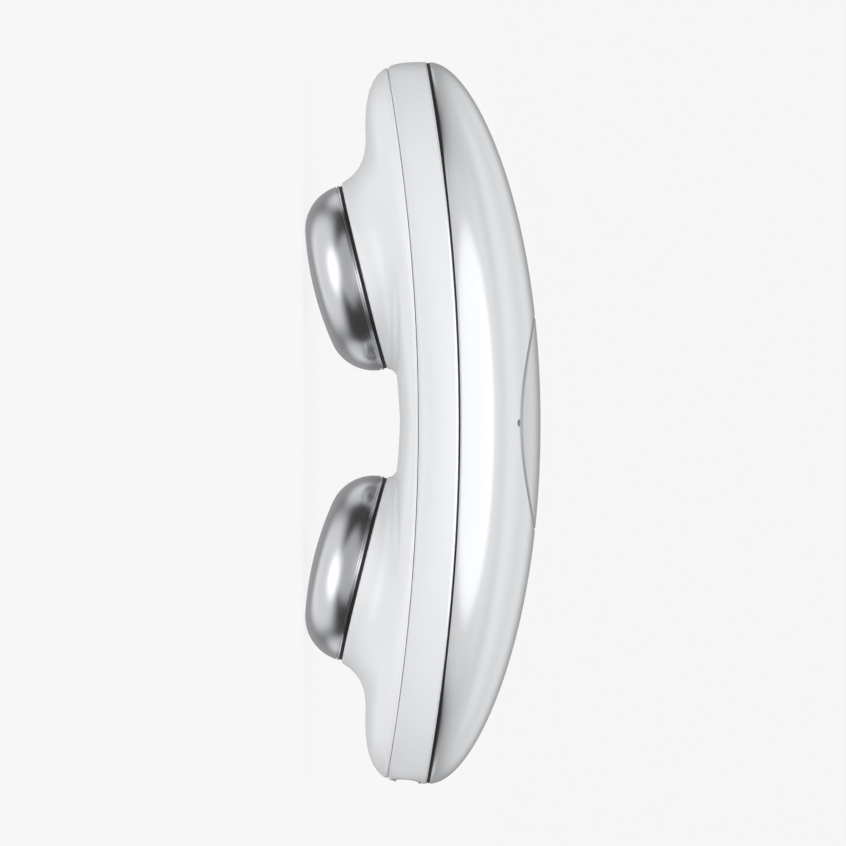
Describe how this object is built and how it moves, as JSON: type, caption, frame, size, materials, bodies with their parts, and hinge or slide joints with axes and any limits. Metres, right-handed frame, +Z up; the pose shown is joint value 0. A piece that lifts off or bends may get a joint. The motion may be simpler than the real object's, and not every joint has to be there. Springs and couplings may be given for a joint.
{
  "type": "facial toning device",
  "caption": "Bent oval handheld toning device with tilted polished metal electrode domes below and a round sprung push button on top.",
  "frame": {"origin": "centre of the bounding box's base, on the surface that the electrode domes stand on, midway between the domes", "axes": "+X along the case towards the charging socket, +Y across the case, +Z up through the button; the domes face down"},
  "size_m": [0.112, 0.048, 0.0365],
  "materials": {
    "white_shell": "gloss moulded, high polish",
    "button_white": "satin gloss moulded",
    "silver_band": "pearl silver satin",
    "dome_metal": "mirror polished",
    "dark_seal": "matte moulded",
    "grey_liner": "matte moulded",
    "return_silicone": "translucent matte",
    "chassis_plastic": "moulded, fine texture",
    "screw_steel": "zinc plated",
    "stamped_steel": "stamped and tinned",
    "terminal_brass": "tinned brass",
    "board_green": "solder mask over glass laminate",
    "chip_black": "moulded epoxy",
    "connector_ivory": "moulded nylon",
    "switch_button": "moulded nylon",
    "ferrite": "sintered",
    "winding_tape": "polyester tape",
    "battery_pouch": "laminated foil pouch",
    "foam_black": "closed cell foam",
    "lead_ivory": "insulated wire",
    "lead_red": "insulated wire",
    "lead_blue": "insulated wire",
    "ribbon_amber": "polyimide film",
    "light_clear": "clear polycarbonate",
    "led_yellow": "moulded silicone"
  },
  "bodies": {
    "case": {"front_shell": "white_shell", "mid_band": "silver_band", "back_shell": "white_shell", "seam_gasket": "dark_seal", "chassis": "chassis_plastic", "case_screws": "screw_steel", "electrode_dome_left": "dome_metal", "electrode_dome_right": "dome_metal", "electrode_gasket_left": "dark_seal", "electrode_gasket_right": "dark_seal", "electrode_tab_left": "terminal_brass", "electrode_tab_right": "terminal_brass", "stud_nut_left": "screw_steel", "stud_nut_right": "screw_steel", "electrode_lead_left": "lead_ivory", "electrode_lead_right": "lead_ivory", "button_guide": "chassis_plastic", "guide_screws": "screw_steel", "return_pad": "return_silicone", "tact_switch": "chip_black", "light_pipe": "light_clear", "status_led": "led_yellow", "main_board": "board_green", "board_screws": "screw_steel", "processor_chip": "chip_black", "wireless_module": "stamped_steel", "boost_coil": "ferrite", "pulse_transformer": "winding_tape", "ribbon_connector": "connector_ivory", "battery": "battery_pouch", "battery_foam": "foam_black", "battery_leads": "lead_red", "battery_connector": "connector_ivory", "usb_board": "board_green", "usb_screws": "screw_steel", "usb_socket": "stamped_steel", "port_liner": "grey_liner", "usb_ribbon": "ribbon_amber", "vibration_motor": "stamped_steel", "motor_leads": "lead_blue"},
    "button": {"button_cap": "button_white"},
    "plunger": {"switch_plunger": "switch_button"}
  },
  "joints": [
    {"name": "button_press", "type": "slide", "parent": "case", "child": "button", "axis": [0, 0, 1], "range_m": [-0.0005, 0], "stiffness_N_per_m": 1500, "springref_m": 0.0004, "deforming": ["return_pad"]},
    {"name": "plunger_travel", "type": "slide", "parent": "case", "child": "plunger", "axis": [0, 0, 1], "range_m": [-0.0005, 0]}
  ],
  "couplings": [
    {"joint": "plunger_travel", "follows": "button_press", "ratio": 1}
  ]
}
